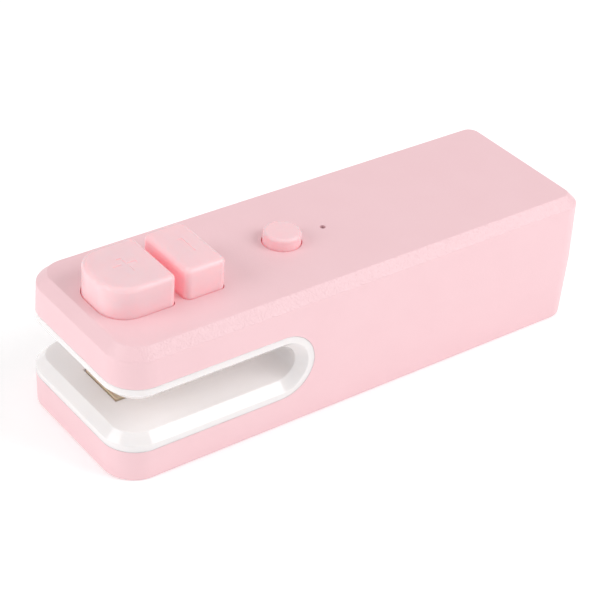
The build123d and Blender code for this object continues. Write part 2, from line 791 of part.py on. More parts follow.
with BuildPart() as battery_pad:
    with Locations((cell_front + cell_length / 2, 0, board_bottom)):
        Box(20.0, 8.0, cell_pad_thickness + 1.2, align=TOP)
    with BuildSketch(Plane.YZ.offset(cell_front)):
        with Locations((0, cell_level)):
            Circle(cell_diameter / 2)
    extrude(amount=cell_length, mode=Mode.SUBTRACT)
save(battery_pad, "battery_pad")

with BuildPart() as battery_tabs:
    for end_x in (cell_front - 0.1, cell_front + cell_length + 0.1):
        with Locations((end_x, 0, cell_level + 1)):
            Box(0.2, 5.0, 7.0)
save(battery_tabs, "battery_tabs")


def battery_lead(end_x, outward, side):
    """A lead from a cell tab up to the underside of the board."""
    start = (end_x + outward * 0.2, side * 1.2, cell_level + 2.0)
    with BuildPart() as lead:
        with BuildLine() as path:
            FilletPolyline(
                start,
                (start[0] + outward * 1.6, start[1], start[2]),
                (start[0] + outward * 1.6, start[1], board_bottom),
                radius=0.8,
            )
        with BuildSketch(Plane(origin=path.line @ 0, z_dir=path.line % 0)):
            Circle(wire_radius)
        sweep()
    return lead


save(battery_lead(cell_front, -1, -1), "battery_lead_negative")
save(battery_lead(cell_front + cell_length, 1, 1), "battery_lead_positive")


def heater_lead(side):
    """A lead from the board, forward over the liner, to the terminal under one seal spring."""
    board_end = (front + board_front + 1.6, side * (board_half_width - 1.6))
    level = terminal_top + wire_radius
    with BuildPart() as lead:
        with BuildLine() as path:
            FilletPolyline(
                (*board_end, board_top),
                (*board_end, board_top + 2.4),
                (mouth_x + 2.0, side * lead_y, level + 0.6),
                (mouth_x - 3.5, side * lead_y, level),
                (seal_x - strap_width / 2, side * lead_y, level),
                radius=1.1,
            )
        with BuildSketch(Plane(origin=path.line @ 0, z_dir=path.line % 0)):
            Circle(wire_radius)
        sweep(transition=Transition.ROUND)
    return lead


save(heater_lead(-1), "heater_lead_near")
save(heater_lead(1), "heater_lead_far")

# ---------------------------------------------------------------- fasteners from below
with BuildPart() as casing_screws:
    with Locations(*[(x, y, screw_seat) for x, y in boss_points]):
        add(pan_screw(screw_shank, 15.0, screw_head_radius, screw_head_height))
save(casing_screws, "casing_screws")

with BuildPart() as jaw_screws:
    with Locations(*[(x, y, screw_seat) for x, y in jaw_screw_points]):
        add(
            pan_screw(
                screw_shank,
                jaw_top - liner_wall - 0.4 - screw_seat,
                screw_head_radius,
                screw_head_height,
            )
        )
save(jaw_screws, "jaw_screws")
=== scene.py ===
# %% [markdown]
# # A pocket bag sealer, dressed for its portrait
# The sealer is a hand-sized stapler shape: a pink clamshell casing with a white-lined mouth, a
# large key that presses a hot strip onto a silicone pad, a smaller key that lowers a blade, and a
# round power button. Its shapes, sizes and joints come in as a finished frame, and this lesson
# gives them their surfaces, adds the small repeated parts, lights the set and places the camera.
#
# The frame loads first, because every size and place below is worked out from it. Its box is
# kept, and the lamps are aimed at its middle.

# %% Load the frame
import json
import math

import bpy
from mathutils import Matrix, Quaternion, Vector


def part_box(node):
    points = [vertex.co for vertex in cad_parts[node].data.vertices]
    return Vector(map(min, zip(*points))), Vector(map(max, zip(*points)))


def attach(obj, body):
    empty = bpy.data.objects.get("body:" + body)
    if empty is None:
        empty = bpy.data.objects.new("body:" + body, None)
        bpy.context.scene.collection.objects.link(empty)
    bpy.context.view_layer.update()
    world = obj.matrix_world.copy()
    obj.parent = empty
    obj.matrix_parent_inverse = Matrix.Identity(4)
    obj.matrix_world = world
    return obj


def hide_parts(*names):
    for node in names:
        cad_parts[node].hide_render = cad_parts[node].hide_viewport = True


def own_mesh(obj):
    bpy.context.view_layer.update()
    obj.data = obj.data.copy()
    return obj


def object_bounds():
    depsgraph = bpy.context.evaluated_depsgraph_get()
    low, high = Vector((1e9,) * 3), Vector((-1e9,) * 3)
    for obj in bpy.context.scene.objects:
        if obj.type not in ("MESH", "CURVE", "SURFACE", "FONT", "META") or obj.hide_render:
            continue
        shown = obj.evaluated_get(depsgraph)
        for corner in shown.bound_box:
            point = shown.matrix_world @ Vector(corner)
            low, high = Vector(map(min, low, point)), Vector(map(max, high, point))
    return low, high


MM = 0.001

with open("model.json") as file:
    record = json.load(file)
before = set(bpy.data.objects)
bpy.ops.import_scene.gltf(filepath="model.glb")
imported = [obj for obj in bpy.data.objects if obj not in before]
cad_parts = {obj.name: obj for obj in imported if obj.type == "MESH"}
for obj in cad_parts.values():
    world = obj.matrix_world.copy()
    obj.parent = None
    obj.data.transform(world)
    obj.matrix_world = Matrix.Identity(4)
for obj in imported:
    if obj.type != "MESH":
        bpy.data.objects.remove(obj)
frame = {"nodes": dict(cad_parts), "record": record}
cad_box = [list(corner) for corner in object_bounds()]
slot_of = {part["node"]: part["material_slot"] for part in frame["record"]["subparts"]}
box_low, box_high = (Vector(corner) for corner in cad_box)
box_centre = (box_low + box_high) / 2
print("nodes", len(frame["nodes"]), "size in mm", [round(v / MM, 2) for v in box_high - box_low])

# %% [markdown]
# ## Two helpers
# Paint charts and screens give colours as sRGB hex values, but light adds up in linear values, so
# one function converts them. A material is a tree of nodes, and writing each node as three or
# four statements hides the idea, so a second function adds any node with its settings, its
# values and what it is linked from.

# %% Helpers for colours and nodes


def linear(hex_colour):
    """The linear RGBA of an sRGB hex colour such as F0C8D0."""
    channels = [int(hex_colour[i : i + 2], 16) / 255 for i in (0, 2, 4)]
    straight = [c / 12.92 if c <= 0.04045 else ((c + 0.055) / 1.055) ** 2.4 for c in channels]
    return (*straight, 1.0)


def add_node(tree, kind, values=None, links=None, **settings):
    """Adds a node. values and links are {input: value} and {input: output socket}."""
    node = tree.nodes.new(kind)
    for name, setting in settings.items():
        setattr(node, name, setting)
    for name, value in (values or {}).items():
        node.inputs[name].default_value = value
    for name, source in (links or {}).items():
        tree.links.new(source, node.inputs[name])
    return node


def new_material(name, **values):
    """A material with a Principled shader. Returns the material, its tree and the shader."""
    material = bpy.data.materials.new(name)
    material.use_nodes = True
    tree = material.node_tree
    tree.nodes.clear()
    shader = add_node(tree, "ShaderNodeBsdfPrincipled", values)
    add_node(tree, "ShaderNodeOutputMaterial", links={"Surface": shader.outputs["BSDF"]})
    return material, tree, shader


# %% [markdown]
# ## The camera
# The sealer is seen from above its front left corner with a short telephoto lens, so that the far
# end looks only a little smaller. The camera is placed by what a photographer would note down: the
# point it aims at, the direction, the height angle, the distance and a slight tilt.

# %% Place the camera
aim = Vector((-2.65, 0.27, 12.70)) * MM
camera_azimuth = math.radians(-38.94)
camera_elevation = math.radians(34.25)
camera_distance = 374 * MM
camera_roll = math.radians(4.56)

outward = Vector(
    (
        math.sin(camera_azimuth) * math.cos(camera_elevation),
        -math.cos(camera_azimuth) * math.cos(camera_elevation),
        math.sin(camera_elevation),
    )
)
camera_data = bpy.data.cameras.new("portrait_camera")
camera_data.sensor_width = 36
camera_data.lens = 114.1
camera_data.clip_start = 0.01
camera = bpy.data.objects.new("portrait_camera", camera_data)
camera.rotation_mode = "QUATERNION"
level_view = (-outward).to_track_quat("-Z", "Y")
camera.rotation_quaternion = level_view @ Quaternion((0, 0, 1), camera_roll)
camera.location = aim + outward * camera_distance
bpy.context.scene.collection.objects.link(camera)
bpy.context.scene.camera = camera
print("camera at", [round(v / MM, 1) for v in camera.location], "mm")

# %% [markdown]
# ## The set
# A product like this is shot on white with large soft lamps, so that pastel plastic keeps its
# colour and the shadows stay faint. It stands on a light table: a white sheet lit from below, which
# keeps the ground white and sends a little light up under the jaws. The lamps are area lights, each
# wide compared with the sealer. The right lamp sits where the liner's bevel mirrors it, the left
# lamp lights the front end, and a weak one reaches into the mouth. The view transform is the plain
# one, because a film-like curve would turn the pink grey.

# %% Light table, lamps and world
scene = bpy.context.scene
scene.view_settings.view_transform = "Standard"

table_glow = 0.16
table_half = 1.5  # in metres, wide enough to fill every view from above
table_drop = 0.05 * MM  # keeps the sheet clear of the resting face
table_sheet, _, table_shader = new_material("lit_white_acrylic", Roughness=0.9)
table_shader.inputs["Base Color"].default_value = linear("FBFBFB")
table_shader.inputs["Emission Color"].default_value = linear("FFFFFF")
table_shader.inputs["Emission Strength"].default_value = table_glow
table_mesh = bpy.data.meshes.new("light_table")
table_corners = [
    (x * table_half, y * table_half, -table_drop) for x, y in ((-1, -1), (1, -1), (1, 1), (-1, 1))
]
table_mesh.from_pydata(table_corners, [], [(0, 1, 2, 3)])
table_mesh.materials.append(table_sheet)
table = bpy.data.objects.new("light_table", table_mesh)
scene.collection.objects.link(table)


def softbox(name, azimuth, elevation, distance, size, power):
    """A square lamp that faces the sealer from that azimuth and elevation in degrees."""
    a, e = math.radians(azimuth), math.radians(elevation)
    out = Vector((math.sin(a) * math.cos(e), -math.cos(a) * math.cos(e), math.sin(e)))
    lamp_data = bpy.data.lights.new(name, "AREA")
    lamp_data.shape = "SQUARE"
    lamp_data.size = size
    lamp_data.energy = power
    lamp = bpy.data.objects.new(name, lamp_data)
    lamp.rotation_mode = "QUATERNION"
    lamp.rotation_quaternion = (-out).to_track_quat("-Z", "Y")
    lamp.location = box_centre + out * distance
    scene.collection.objects.link(lamp)


# azimuth and elevation in degrees, distance and size in metres, power in watts
softbox("right_lamp", 45, 38, 0.8, 0.5, 3.15)
softbox("left_lamp", -100, 25, 0.8, 0.5, 2.4)
softbox("top_lamp", 180, 75, 0.9, 0.6, 1.0)
softbox("mouth_lamp", -25, 6, 0.8, 0.4, 0.12)

room_light = 0.52
world = bpy.data.worlds.new("white_room")
world.use_nodes = True
scene.world = world
background = world.node_tree.nodes["Background"].inputs
background["Color"].default_value = linear("FFFFFF")
background["Strength"].default_value = room_light

# %% [markdown]
# ## Finishes
# No surface is one flat colour: moulding, rolling, casting and plating each leave a trace. Three
# traces cover nearly all of them here. A slow cloud lets the colour drift between two close tones,
# a grain sets how the sheen varies, and the same grain gives the surface its relief. Stretching
# the pattern along one axis turns grain into rolling or grinding lines. Pattern sizes are in real
# millimetres. Painted image textures could carry such traces too, but they would need unwrapping
# and would blur when a part is looked at closely, and a procedural pattern does neither.

# %% The maker of finishes
mix_colours = (6, 7)  # the Mix node's two colour inputs, which share their names with others
mix_result = 2


def cloud_and_grain(tree, tones, cloud, grain, stretch=(1, 1, 1)):
    """Colour drifting between two tones, a grain, and the stretched coordinates. Sizes in mm."""
    place = add_node(tree, "ShaderNodeTexCoord").outputs["Object"]
    drawn = add_node(tree, "ShaderNodeMapping", {"Scale": stretch}, {"Vector": place})
    drawn = drawn.outputs["Vector"]
    drift = add_node(
        tree, "ShaderNodeTexNoise", {"Scale": 1 / (cloud * MM), "Detail": 2.0}, {"Vector": place}
    )
    fine = add_node(
        tree, "ShaderNodeTexNoise", {"Scale": 1 / (grain * MM), "Detail": 3.0}, {"Vector": drawn}
    )
    mix = add_node(tree, "ShaderNodeMix", links={"Factor": drift.outputs["Fac"]}, data_type="RGBA")
    for number, tone in zip(mix_colours, tones):
        mix.inputs[number].default_value = linear(tone)
    return mix.outputs[mix_result], fine.outputs["Fac"], drawn


def add_relief(tree, shader, height, depth):
    """Raises the surface by depth millimetres where height is 1."""
    bump = add_node(
        tree, "ShaderNodeBump", {"Strength": 1.0, "Distance": depth * MM}, {"Height": height}
    )
    tree.links.new(bump.outputs["Normal"], shader.inputs["Normal"])
    return bump


def finish(name, tones, cloud, grain, depth, sheen, stretch=(1, 1, 1), **values):
    """A material from two tones, cloud, grain and relief sizes in mm, and lowest and highest
    roughness. The rest goes to the shader's own inputs."""
    material, tree, shader = new_material(name, **values)
    colour, fine, _ = cloud_and_grain(tree, tones, cloud, grain, stretch)
    tree.links.new(colour, shader.inputs["Base Color"])
    roughness = add_node(
        tree, "ShaderNodeMapRange", {"To Min": sheen[0], "To Max": sheen[1]}, {"Value": fine}
    )
    tree.links.new(roughness.outputs["Result"], shader.inputs["Roughness"])
    add_relief(tree, shader, fine, depth)
    return material


def node_of(tree, kind):
    """The tree's node of that kind, such as its shader."""
    return next(node for node in tree.nodes if node.bl_idname == kind)


def multiply(tree, first, second):
    """The product of two outputs."""
    product = add_node(tree, "ShaderNodeMath", links={0: first, 1: second}, operation="MULTIPLY")
    return product.outputs["Value"]


def sheltered(tree, reach, strength):
    """Up to strength where other surfaces stand within reach millimetres, falling to 0 in the open."""
    shelter = add_node(tree, "ShaderNodeAmbientOcclusion", {"Distance": reach * MM}, samples=6)
    value = add_node(
        tree,
        "ShaderNodeMapRange",
        {"To Min": strength, "To Max": 0.0},
        {"Value": shelter.outputs["AO"]},
    )
    return value.outputs["Result"]


# %% [markdown]
# ## The casing's grained pink
# The casing is ABS from a spark-eroded mould, which leaves a fine even grain. Its two long bevels
# were left coarser by the spark, as a strip that the fingers can find, and there the light breaks
# into specks. The strip could be a second material on its own faces. Instead it is found from which
# way the surface faces, sideways and up at once, so that it fades out where the bevel rounds off.

# %% Grained pink with its coarse strips
finishes = {}

# matt with a fine sparkle; real grain is nearer 0.1 mm and is drawn coarser so that it shows
finishes["pink_abs"] = finish(
    "spark_grained_pink_abs", ("F1CBD0", "EEC6CB"), 9.0, 0.30, 0.022, (0.34, 0.50), IOR=1.54
)

# the strip fades in while the surface's normal leans this far sideways, and this far up
strip_fade = {"From Min": 0.42, "From Max": 0.66}
pit_size = 0.42 * MM
pit_relief = 0.16  # in millimetres
middle_grey = 0.5  # taken off the noise, so that the strip's edge makes no step

pink_tree = finishes["pink_abs"].node_tree
here = add_node(pink_tree, "ShaderNodeTexCoord").outputs
facing = add_node(pink_tree, "ShaderNodeSeparateXYZ", links={"Vector": here["Normal"]}).outputs
sideways = add_node(pink_tree, "ShaderNodeMath", links={0: facing["Y"]}, operation="ABSOLUTE")
tilts = [
    add_node(pink_tree, "ShaderNodeMapRange", strip_fade, {"Value": tilt}).outputs["Result"]
    for tilt in (sideways.outputs["Value"], facing["Z"])
]
strip = multiply(pink_tree, *tilts)
pits = add_node(
    pink_tree,
    "ShaderNodeTexNoise",
    {"Scale": 1 / pit_size, "Detail": 1.0},
    {"Vector": here["Object"]},
)
pit_depth = add_node(
    pink_tree, "ShaderNodeMath", {1: middle_grey}, {0: pits.outputs["Fac"]}, operation="SUBTRACT"
)
pitted = multiply(pink_tree, pit_depth.outputs["Value"], strip)
fine_bump = node_of(pink_tree, "ShaderNodeBump")
pink_shader = node_of(pink_tree, "ShaderNodeBsdfPrincipled")
coarse_bump = add_relief(pink_tree, pink_shader, pitted, pit_relief)
pink_tree.links.new(fine_bump.outputs["Normal"], coarse_bump.inputs["Normal"])

# %% [markdown]
# ## The satin pink of the keys and the button
# The keys and the button come from a polished mould and their walls are thin, so light that goes in
# on one side comes out redder on the other. Subsurface scattering makes the edges soft. A small
# emission stands in for the rest of that light. It isn't something the plastic does: it is added
# where surfaces shelter each other, most of all in the slot between the keys.

# %% Satin pink
satin_pink = finish(
    "satin_moulded_pink_abs",
    ("F9D2D6", "F6CCD1"),
    6.0,
    0.5,
    0.002,
    (0.20, 0.28),
    **{
        "IOR": 1.54,
        "Subsurface Weight": 0.6,
        "Subsurface Scale": 2.5 * MM,
        "Subsurface Radius": (1.0, 0.2, 0.18),
    },
)
satin_tree = satin_pink.node_tree
satin_shader = node_of(satin_tree, "ShaderNodeBsdfPrincipled")
key_glow = sheltered(satin_tree, reach=4, strength=0.24)
satin_shader.inputs["Emission Color"].default_value = linear("F0606C")
satin_tree.links.new(key_glow, satin_shader.inputs["Emission Strength"])

# %% [markdown]
# ## The liner's polished white
# The liner is white ABS from a mirror-polished mould, so it mirrors the lamps in clean bands. A
# moulded edge is never quite sharp. A fillet in the mesh would be the true way, but these edges
# came in sharp, so a Bevel node rounds them by 0.3 mm in the shading only. The two white jaws also
# pass light back and forth, and a small emission on the lower one's upward face stands in for it.

# %% Polished white
# glassy, with a faint cloudiness in its sheen
finishes["white_abs"] = finish(
    "mirror_polished_white_abs",
    ("F1EDEC", "EEEAEA"),
    12.0,
    2.5,
    0.004,
    (0.07, 0.13),
    **{
        "IOR": 1.54,
        "Subsurface Weight": 0.5,
        "Subsurface Scale": 1.2 * MM,
        "Subsurface Radius": (1.0, 0.95, 0.9),
    },
)
liner_tree = finishes["white_abs"].node_tree
liner_shader = node_of(liner_tree, "ShaderNodeBsdfPrincipled")
edge_round = add_node(liner_tree, "ShaderNodeBevel", {"Radius": 0.3 * MM}, samples=4)
liner_bump = node_of(liner_tree, "ShaderNodeBump")
liner_tree.links.new(edge_round.outputs["Normal"], liner_bump.inputs["Normal"])

upward_fade = {"From Min": 0.2, "From Max": 0.95}  # of the normal's lean upward
liner_normal = add_node(liner_tree, "ShaderNodeTexCoord").outputs["Normal"]
upward = add_node(liner_tree, "ShaderNodeSeparateXYZ", links={"Vector": liner_normal}).outputs["Z"]
face_up = add_node(liner_tree, "ShaderNodeMapRange", upward_fade, {"Value": upward})
between_jaws = sheltered(liner_tree, reach=15, strength=0.20)
lift = multiply(liner_tree, between_jaws, face_up.outputs["Result"])
liner_shader.inputs["Emission Color"].default_value = linear("FBEDEA")
liner_tree.links.new(lift, liner_shader.inputs["Emission Strength"])

# %% [markdown]
# ## The heater's materials
# Each layer of the heater has its own job. Silicone gives way under the bag, phenolic stands the
# heat, a mica sheet insulates, the nichrome strip heats, and a PTFE-coated glass tape keeps film
# from sticking. Glass tape is woven, so its relief comes from two crossed waves.

# %% Heater layers
# powdery and slightly translucent
finishes["silicone"] = finish(
    "cast_beige_silicone",
    ("D8C3AA", "CFB89D"),
    3.0,
    0.25,
    0.010,
    (0.50, 0.66),
    IOR=1.41,
    **{"Subsurface Weight": 0.2, "Subsurface Scale": 0.8 * MM},
)
# dark brown with the slightly paler flecks of its wood-flour filler
finishes["phenolic"] = finish(
    "moulded_phenolic", ("3A2418", "23150E"), 0.8, 0.25, 0.010, (0.30, 0.50), IOR=1.6
)
# amber flakes pressed into a sheet
finishes["mica"] = finish(
    "pressed_mica_sheet", ("C9AE72", "9C8047"), 1.2, 0.6, 0.010, (0.15, 0.45), IOR=1.58
)
# rolled strip with lines along its length, straw-tinted by heat
finishes["nichrome"] = finish(
    "rolled_nichrome_strip",
    ("9A938B", "8B7B62"),
    2.5,
    0.25,
    0.004,
    (0.22, 0.42),
    (6, 0.4, 6),
    Metallic=1.0,
)


def woven_tape():
    """Brown PTFE over a plain weave of glass yarn, drawn coarse so that the threads show."""
    wave_scale = 3.2 * MM  # puts about 1 mm between threads
    material, tree, shader = new_material("ptfe_coated_glass_tape", IOR=1.38)
    colour, _, drawn = cloud_and_grain(tree, ("9A6B43", "7C5232"), 2.0, 0.4)
    tree.links.new(colour, shader.inputs["Base Color"])
    shader.inputs["Roughness"].default_value = 0.38
    threads = []
    for direction in ("X", "Y"):
        wave = add_node(
            tree,
            "ShaderNodeTexWave",
            {"Scale": 1 / wave_scale, "Distortion": 0.0},
            {"Vector": drawn},
            bands_direction=direction,
        )
        threads.append(wave.outputs["Fac"])
    weave = add_node(tree, "ShaderNodeMath", operation="MAXIMUM")
    for number, thread in enumerate(threads):
        tree.links.new(thread, weave.inputs[number])
    add_relief(tree, shader, weave.outputs["Value"], 0.03)
    return material


finishes["ptfe_tape"] = woven_tape()

# %% [markdown]
# ## The metals
# A metal's colour comes from its reflection, so each is fully metallic and keeps the default
# index. What tells them apart is tint and how they were worked: drawn wire has lines round
# its coil, ground steel has lines across the edge, plating has soft clouds.

# %% Metals
metal_rows = (
    # slot, name, tones, cloud, grain, depth, sheen, stretch
    ("brass", "stamped_brass", ("D8B468", "C79F52"), 2.0, 0.3, 0.004, (0.22, 0.40), (1, 1, 1)),
    ("spring_steel", "drawn_spring_wire", ("A9ABAE", "93969A"), 1.5, 0.2, 0.002, (0.20, 0.38), (1, 1, 5)),
    ("blade_steel", "ground_blade_steel", ("CDD0D3", "BEC1C5"), 3.0, 0.2, 0.003, (0.14, 0.30), (1, 0.3, 6)),
    ("screw_steel", "zinc_plated_steel", ("C2C5CA", "B6B29F"), 0.9, 0.3, 0.003, (0.24, 0.42), (1, 1, 1)),
    ("socket_shell", "nickel_plated_shell", ("CDCBC6", "BDBAB3"), 3.0, 0.4, 0.002, (0.12, 0.26), (0.3, 2, 2)),
    ("nickel", "rolled_nickel_strip", ("C9C4B8", "B8B2A4"), 2.0, 0.25, 0.003, (0.22, 0.40), (1, 1, 0.3)),
)
for slot_name, name, tones, cloud, grain, depth, sheen, stretch in metal_rows:
    finishes[slot_name] = finish(name, tones, cloud, grain, depth, sheen, stretch, Metallic=1.0)

# soft grey metal that wetted the joint and froze bright
solder = finish("frozen_solder", ("B9BBBE", "9DA0A4"), 0.5, 0.4, 0.01, (0.18, 0.34), Metallic=1.0)
# a thin flash of gold on the contacts
gold_flash = finish("gold_flash_contact", ("E2BE6A", "D2AA55"), 0.8, 0.2, 0.002, (0.15, 0.28), Metallic=1.0)

# %% [markdown]
# ## The electronics
# The board is green solder mask over copper, and the copper shows through as paler tracks that
# run straight and turn square. A Brick texture's mortar gives such lines. The cell has a glossy
# shrink sleeve, and the leads have soft PVC.

# %% Electronics


def masked_board():
    """Glass-epoxy board: paler lines where copper tracks lie under the green mask."""
    material, tree, shader = new_material("green_solder_mask", IOR=1.52)
    colour, _, drawn = cloud_and_grain(tree, ("0F5A33", "0B4A29"), 5.0, 0.5)
    tracks = add_node(
        tree,
        "ShaderNodeTexBrick",
        {
            "Scale": 1.0,
            "Brick Width": 11.0 * MM,
            "Row Height": 1.2 * MM,
            "Mortar Size": 0.16 * MM,
            "Mortar Smooth": 0.2,
        },
        {"Vector": drawn, "Color1": colour, "Color2": colour},
        offset=0.37,
        offset_frequency=3,
    )
    tracks.inputs["Mortar"].default_value = linear("1E7343")
    tree.links.new(tracks.outputs["Color"], shader.inputs["Base Color"])
    shader.inputs["Roughness"].default_value = 0.28
    add_relief(tree, shader, tracks.outputs["Fac"], 0.03)
    return material


finishes["board_green"] = masked_board()

glassy = {"IOR": 1.49, "Transmission Weight": 1.0}
milky = {"IOR": 1.53, "Subsurface Weight": 0.3, "Subsurface Scale": 1.0 * MM}
half_clear = {"IOR": 1.53, "Transmission Weight": 0.25}
sleeved = {"IOR": 1.54, "Coat Weight": 0.3}
pvc = {"IOR": 1.54}
resin = {"IOR": 1.55}
ceramic = {"IOR": 1.6}
foam = {"IOR": 1.5}

plain_rows = (
    # slot, name, tones, cloud, grain, depth, sheen, shader values
    # milky, waxy and a little translucent
    ("white_nylon", "moulded_natural_nylon", ("E9E5D8", "DFDAC9"), 4.0, 0.5, 0.004, (0.32, 0.48), milky),
    # matt black with silica sparkle
    ("black_resin", "moulded_black_resin", ("1C1C1E", "121213"), 1.0, 0.15, 0.006, (0.38, 0.58), resin),
    # fired, matt and tan
    ("ceramic", "fired_ceramic_body", ("B39068", "9F7C55"), 0.7, 0.2, 0.006, (0.45, 0.65), ceramic),
    # cloudy yellow where the phosphor sits in the epoxy
    ("led_resin", "phosphor_filled_epoxy", ("F5E9A8", "EFE2BE"), 0.5, 0.3, 0.002, (0.08, 0.18), half_clear),
    # water-clear with faint flow lines
    ("clear_acrylic", "moulded_clear_acrylic", ("F6F6F8", "EEF0F2"), 2.0, 1.0, 0.003, (0.03, 0.10), glassy),
    # glossy with the slight waves of shrunk film
    ("cell_sleeve", "blue_shrink_sleeve", ("2E63A3", "27558E"), 8.0, 1.8, 0.03, (0.16, 0.28), sleeved),
    # small cut pores, almost no sheen
    ("foam", "closed_cell_foam", ("232326", "141416"), 0.6, 0.35, 0.08, (0.80, 0.95), foam),
    ("lead_red", "red_pvc_insulation", ("B81A1C", "A31416"), 2.0, 0.3, 0.003, (0.30, 0.44), pvc),
    ("lead_black", "black_pvc_insulation", ("1A1A1B", "0F0F10"), 2.0, 0.3, 0.003, (0.30, 0.44), pvc),
)
for slot_name, name, tones, cloud, grain, depth, sheen, values in plain_rows:
    finishes[slot_name] = finish(name, tones, cloud, grain, depth, sheen, **values)

# %% Dress every node
satin_nodes = ("seal_key", "cut_key", "power_button")
for name, node in frame["nodes"].items():
    node.data.materials.clear()
    node.data.materials.append(satin_pink if name in satin_nodes else finishes[slot_of[name]])
print("finishes", len(finishes), "nodes dressed", len(frame["nodes"]))

# %% [markdown]
# ## Geometry Nodes pieces
# What repeats is grown from a rule. One function runs a tree on a few seed points and keeps the
# result as a plain mesh, so that nothing is left to be worked out later.

# %% Running a tree


def new_tree(name, sockets):
    """A Geometry Nodes tree with a geometry input, the named inputs and a geometry output."""
    tree = bpy.data.node_groups.new(name, "GeometryNodeTree")
    tree.is_modifier = True
    tree.interface.new_socket("Geometry", in_out="INPUT", socket_type="NodeSocketGeometry")
    for socket_name, kind in sockets:
        tree.interface.new_socket(socket_name, in_out="INPUT", socket_type=kind)
    tree.interface.new_socket("Geometry", in_out="OUTPUT", socket_type="NodeSocketGeometry")
    return tree, add_node(tree, "NodeGroupInput").outputs


def close_tree(tree, geometry, material):
    """Realizes the instances, sets the material and leads the result out."""
    real = add_node(tree, "GeometryNodeRealizeInstances", links={"Geometry": geometry})
    painted = add_node(
        tree,
        "GeometryNodeSetMaterial",
        links={"Geometry": real.outputs["Geometry"], "Material": material},
    )
    add_node(tree, "NodeGroupOutput", links={"Geometry": painted.outputs["Geometry"]})


def grow(name, tree, points, values):
    """Runs the tree on the seed points with those inputs. Returns a plain mesh object."""
    seed = bpy.data.meshes.new(name + "_seed")
    seed.from_pydata([tuple(point) for point in points], [], [])
    piece = bpy.data.objects.new(name, seed)
    scene.collection.objects.link(piece)
    modifier = piece.modifiers.new("grow", "NODES")
    modifier.node_group = tree
    for item in tree.interface.items_tree:
        if item.in_out == "INPUT" and item.name in values:
            modifier[item.identifier] = values[item.name]
    depsgraph = bpy.context.evaluated_depsgraph_get()
    grown = bpy.data.meshes.new_from_object(piece.evaluated_get(depsgraph))
    piece.modifiers.remove(modifier)
    piece.data = grown
    print(name, "faces", len(grown.polygons))
    return piece


# %% [markdown]
# ## Coil springs
# A compression spring is wire wound on a mandrel, with its end turns laid flat so that it stands
# straight. The tree winds a spiral of unit height, then sets each point's height from how
# far along the wire it is: level for the first turn, rising evenly, level again at the end.
# Each spring stands in the casing.

# %% Wind the springs


def spring_tree():
    """A wire wound with that many turns, the share at each end level, on every seed point."""
    tree, given = new_tree(
        "coil_spring",
        [
            ("Coil Radius", "NodeSocketFloat"),
            ("Wire Radius", "NodeSocketFloat"),
            ("Free Height", "NodeSocketFloat"),
            ("Turns", "NodeSocketFloat"),
            ("Level Share", "NodeSocketFloat"),
            ("Metal", "NodeSocketMaterial"),
        ],
    )
    steps_per_turn = 28
    spiral = add_node(
        tree,
        "GeometryNodeCurveSpiral",
        {"Resolution": steps_per_turn, "Height": 1.0},
        {
            "Rotations": given["Turns"],
            "Start Radius": given["Coil Radius"],
            "End Radius": given["Coil Radius"],
        },
    )
    along = add_node(tree, "GeometryNodeSplineParameter").outputs["Factor"]
    last = add_node(tree, "ShaderNodeMath", {0: 1.0}, {1: given["Level Share"]}, operation="SUBTRACT")
    top = add_node(
        tree,
        "ShaderNodeMath",
        links={0: given["Free Height"], 1: given["Wire Radius"]},
        operation="SUBTRACT",
    )
    height = add_node(
        tree,
        "ShaderNodeMapRange",
        links={
            "Value": along,
            "From Min": given["Level Share"],
            "From Max": last.outputs["Value"],
            "To Min": given["Wire Radius"],
            "To Max": top.outputs["Value"],
        },
    )
    place = add_node(tree, "GeometryNodeInputPosition").outputs["Position"]
    parts = add_node(tree, "ShaderNodeSeparateXYZ", links={"Vector": place}).outputs
    target = add_node(
        tree,
        "ShaderNodeCombineXYZ",
        links={"X": parts["X"], "Y": parts["Y"], "Z": height.outputs["Result"]},
    )
    laid = add_node(
        tree,
        "GeometryNodeSetPosition",
        links={"Geometry": spiral.outputs["Curve"], "Position": target.outputs["Vector"]},
    )
    profile = add_node(
        tree, "GeometryNodeCurvePrimitiveCircle", {"Resolution": 12}, {"Radius": given["Wire Radius"]}
    )
    wire = add_node(
        tree,
        "GeometryNodeCurveToMesh",
        {"Fill Caps": True},
        {"Curve": laid.outputs["Geometry"], "Profile Curve": profile.outputs["Curve"]},
    )
    placed = add_node(
        tree,
        "GeometryNodeInstanceOnPoints",
        links={"Points": given["Geometry"], "Instance": wire.outputs["Mesh"]},
    )
    close_tree(tree, placed.outputs["Instances"], given["Metal"])
    return tree


spring_wire = 0.3 * MM
spring_turns = 4.5
level_share = 0.17
wound = spring_tree()
for node_name, joint in (("seal_springs", "seal_press"), ("cut_springs", "cut_press")):
    low, high = (Vector(corner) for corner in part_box(node_name))
    coil_outside = (high.x - low.x) / 2
    middle = (low.x + high.x) / 2
    across = high.y - coil_outside
    tall = high.z - low.z
    springs = grow(
        node_name + "_wound",
        wound,
        [(middle, -across, low.z), (middle, across, low.z)],
        {
            "Coil Radius": coil_outside - spring_wire / 2,
            "Wire Radius": spring_wire / 2,
            "Free Height": tall,
            "Turns": spring_turns,
            "Level Share": level_share,
            "Metal": finishes["spring_steel"],
        },
    )
    springs.data.shade_smooth()
    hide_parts(node_name)
    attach(springs, "casing")
    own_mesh(springs)

# %% [markdown]
# ## Studs: solder joints
# Wherever a leg or a lead meets the board, solder has drawn itself into a small cone. One tree
# sets a cone on each seed point.

# %% Solder the legs and leads


